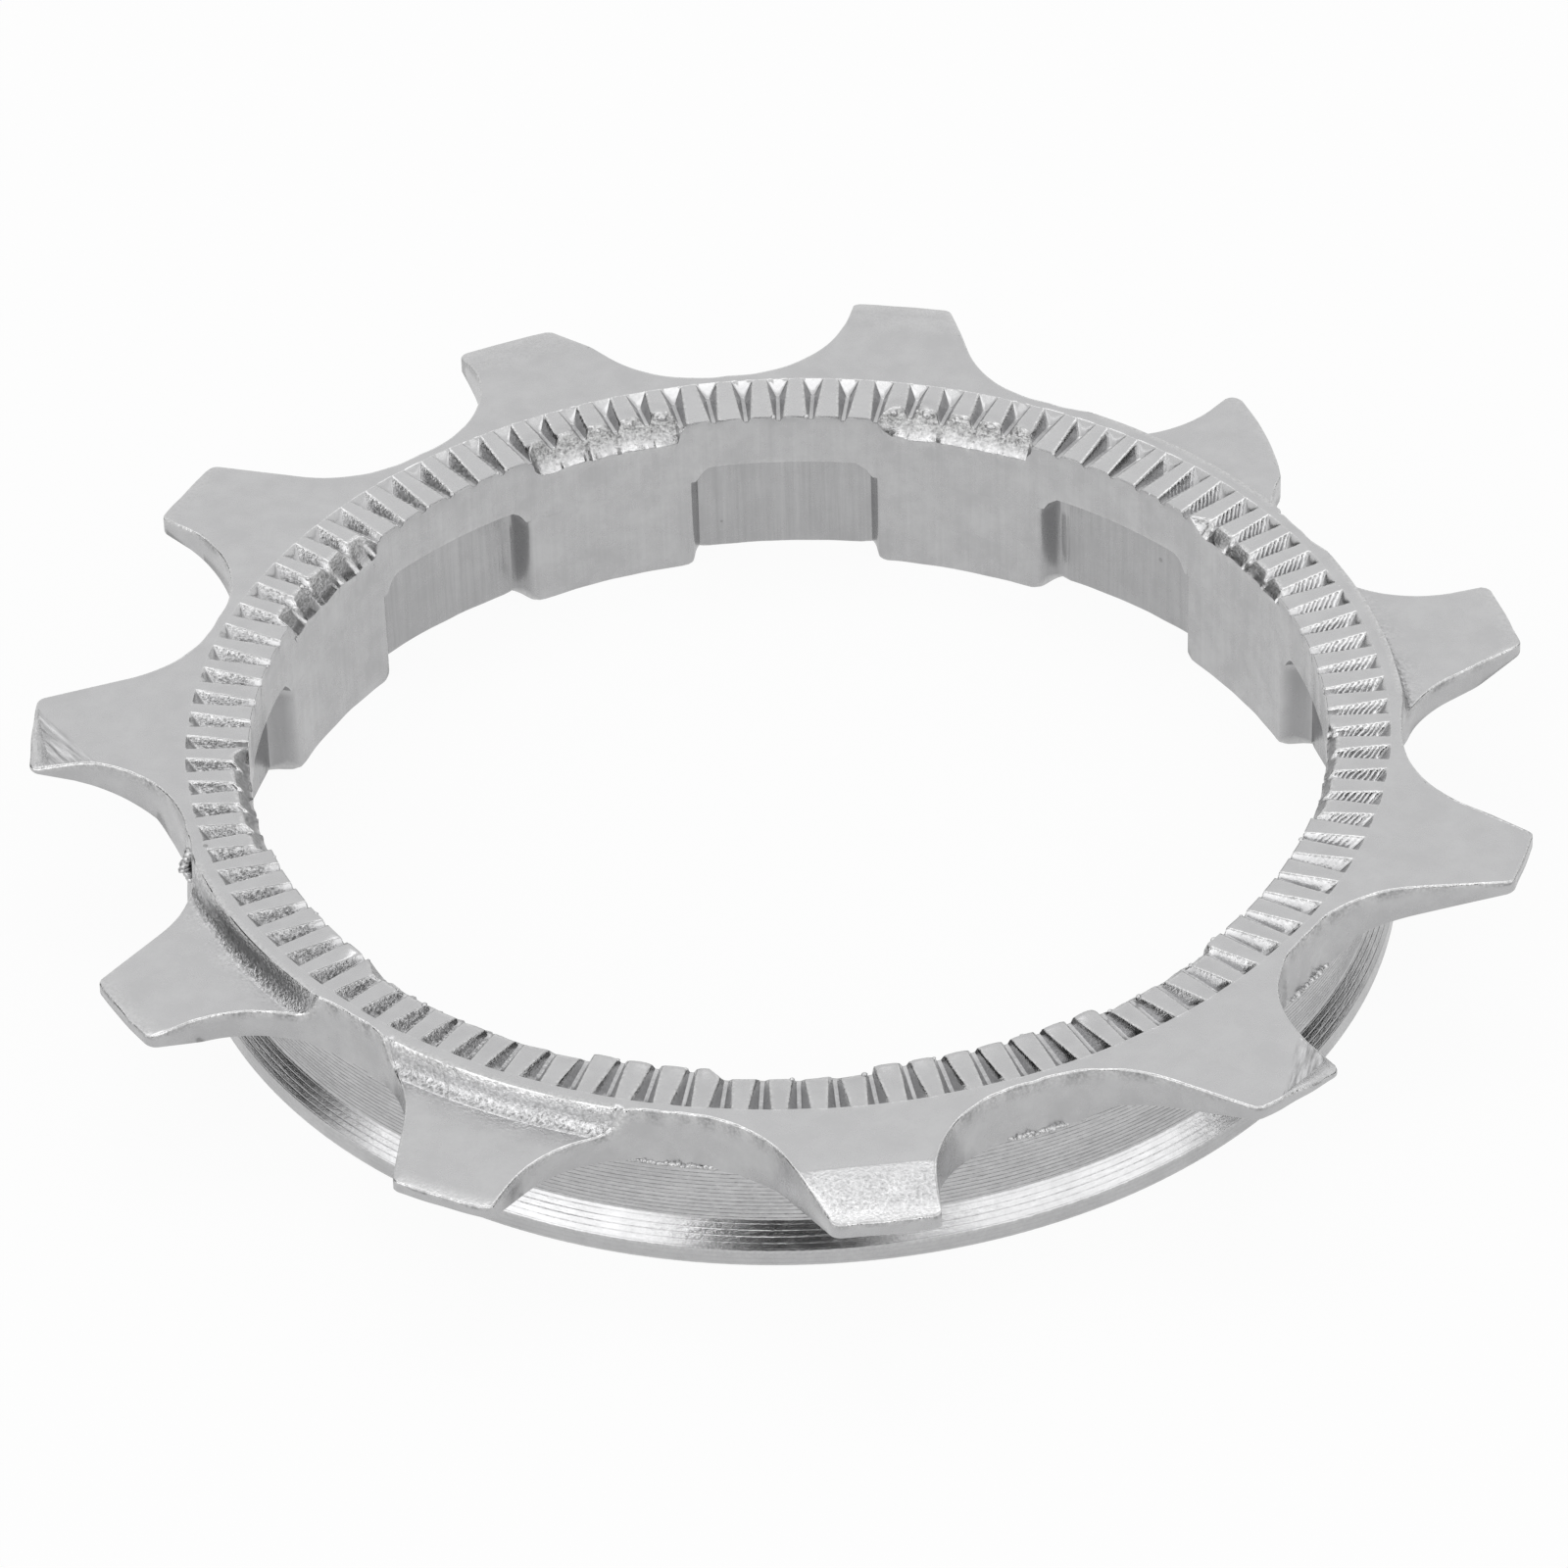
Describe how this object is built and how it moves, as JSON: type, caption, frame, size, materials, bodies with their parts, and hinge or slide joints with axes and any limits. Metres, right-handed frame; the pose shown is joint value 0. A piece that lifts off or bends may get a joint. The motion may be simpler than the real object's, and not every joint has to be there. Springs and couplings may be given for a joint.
{
  "type": "cassette cog",
  "caption": "Small bicycle cassette cog with a serrated lockring face, a splined bore and a built-in rear spacer ring, in bright plated steel.",
  "frame": {"origin": "on the axis of the bore, in the plane of the back face of the spacer", "axes": "+Z along the bore axis towards the serrated lockring face, +Y through the middle of one tooth"},
  "size_m": [0.0459, 0.0455, 0.0057],
  "materials": {
    "plated_steel": "bright plated, satin on the turned faces"
  },
  "bodies": {
    "root": {"cog": "plated_steel"}
  },
  "joints": []
}
